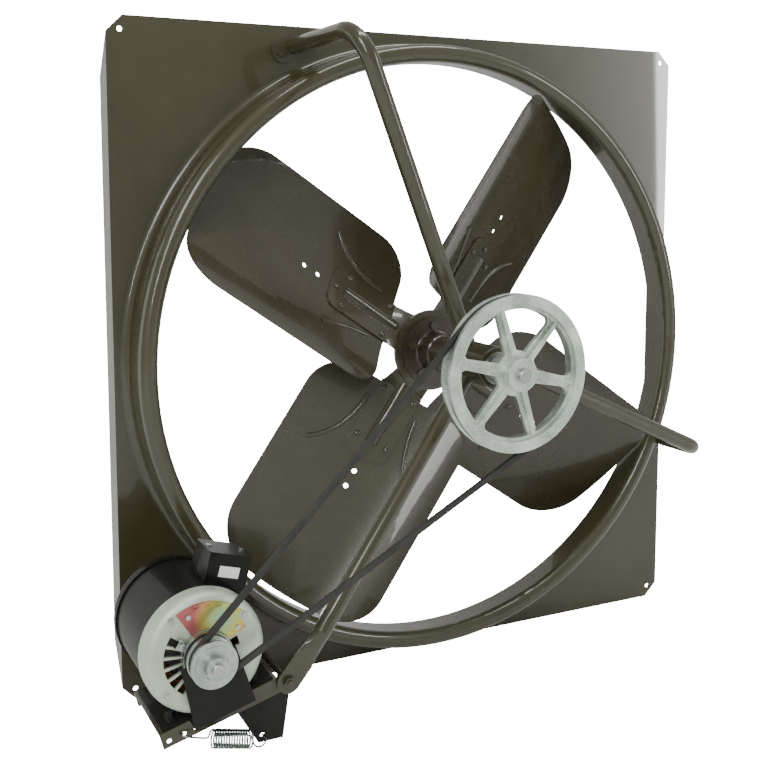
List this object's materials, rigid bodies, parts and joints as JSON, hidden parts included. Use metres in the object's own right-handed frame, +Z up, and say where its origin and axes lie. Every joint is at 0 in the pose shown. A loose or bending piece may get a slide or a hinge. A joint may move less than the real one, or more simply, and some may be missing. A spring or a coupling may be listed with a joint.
{
  "type": "wall exhaust fan",
  "caption": "Square sheet-metal wall panel with a drawn orifice ring, a four-blade propeller on a strut-held shaft, belt drive and a hinged motor base.",
  "frame": {"origin": "on the fan's axis, in the front face of the flat panel", "axes": "+X to the right seen from the drive side, +Y back through the wall along the fan's axis, +Z up"},
  "size_m": [1.0455, 0.3656, 1.016],
  "materials": {
    "enamel": "glossy dark olive-brown baked enamel",
    "blade_enamel": "glossy dark olive-brown baked enamel",
    "painted_fastener": "enamelled with the frame, slightly brighter on the edges",
    "hub_casting": "enamelled casting",
    "ground_steel": "ground shaft steel",
    "sheave_casting": "cast aluminium, machined rim",
    "pulley_casting": "turned aluminium",
    "zinc_fastener": "bright zinc plate",
    "belt_rubber": "matt wrapped rubber",
    "spring_steel": "bright zinc plate",
    "black_bracket": "semi-gloss black paint",
    "rubber_mount": "moulded rubber",
    "zinc_clamp": "bright zinc plate",
    "motor_black": "gloss black paint",
    "lamination": "stacked steel laminations",
    "copper_winding": "varnished copper wire",
    "bell_casting": "die-cast aluminium, pale grey-green",
    "bronze": "sintered bronze",
    "yellow_chromate": "yellow chromate with iridescent bands",
    "box_black": "gloss black paint",
    "plug_black": "moulded plastic",
    "label_white": "blank printed-stock label"
  },
  "bodies": {
    "frame": {"wall_panel": "enamel", "venturi_ring": "enamel", "strut_top": "enamel", "strut_right": "enamel", "strut_lower_left": "enamel", "strut_bolts": "painted_fastener", "bearing_housing": "enamel", "bearing_outer_rings": "ground_steel", "hinge_bracket": "black_bracket", "bracket_bolts": "painted_fastener", "hinge_bolt": "painted_fastener", "v_belt": "belt_rubber", "tension_spring": "spring_steel"},
    "fan_rotor": {"fan_shaft": "ground_steel", "shaft_collars": "ground_steel", "bearing_inner_rings": "ground_steel", "fan_sheave": "sheave_casting", "sheave_set_screw": "zinc_fastener", "propeller_spider": "blade_enamel", "propeller_hub": "hub_casting", "hub_bolts": "painted_fastener", "blade_1": "blade_enamel", "blade_2": "blade_enamel", "blade_3": "blade_enamel", "blade_4": "blade_enamel", "blade_rivets": "painted_fastener"},
    "motor_base": {"swing_plate": "enamel", "base_bolts": "zinc_fastener", "motor_cradle": "black_bracket", "rubber_rings": "rubber_mount", "ring_clamps": "zinc_clamp", "clamp_screws": "zinc_fastener", "motor_shell": "motor_black", "stator_core": "lamination", "stator_windings": "copper_winding", "front_end_bell": "bell_casting", "rear_end_bell": "motor_black", "motor_bearings": "bronze", "through_bolts": "zinc_fastener", "terminal_cover": "yellow_chromate", "terminal_cover_screws": "zinc_fastener", "conduit_box": "box_black", "conduit_box_cover": "box_black", "conduit_box_screws": "zinc_fastener", "knockout_plug": "plug_black", "box_label": "label_white"},
    "motor_rotor": {"motor_shaft": "ground_steel", "rotor_core": "lamination", "motor_pulley": "pulley_casting"}
  },
  "joints": [
    {"name": "fan_spin", "type": "hinge", "parent": "frame", "child": "fan_rotor", "pos_m": [0, 0, 0], "axis": [0, 1, 0], "continuous": true},
    {"name": "motor_swing", "type": "hinge", "parent": "frame", "child": "motor_base", "pos_m": [-0.33506, 0, -0.40803], "axis": [0, 1, 0], "range_deg": [0, 8], "deforming": ["tension_spring", "v_belt"]},
    {"name": "motor_spin", "type": "hinge", "parent": "motor_base", "child": "motor_rotor", "pos_m": [-0.455, 0, -0.341], "axis": [0, 1, 0], "continuous": true}
  ],
  "couplings": [
    {"joint": "motor_spin", "follows": "fan_spin", "ratio": 4.0953}
  ]
}
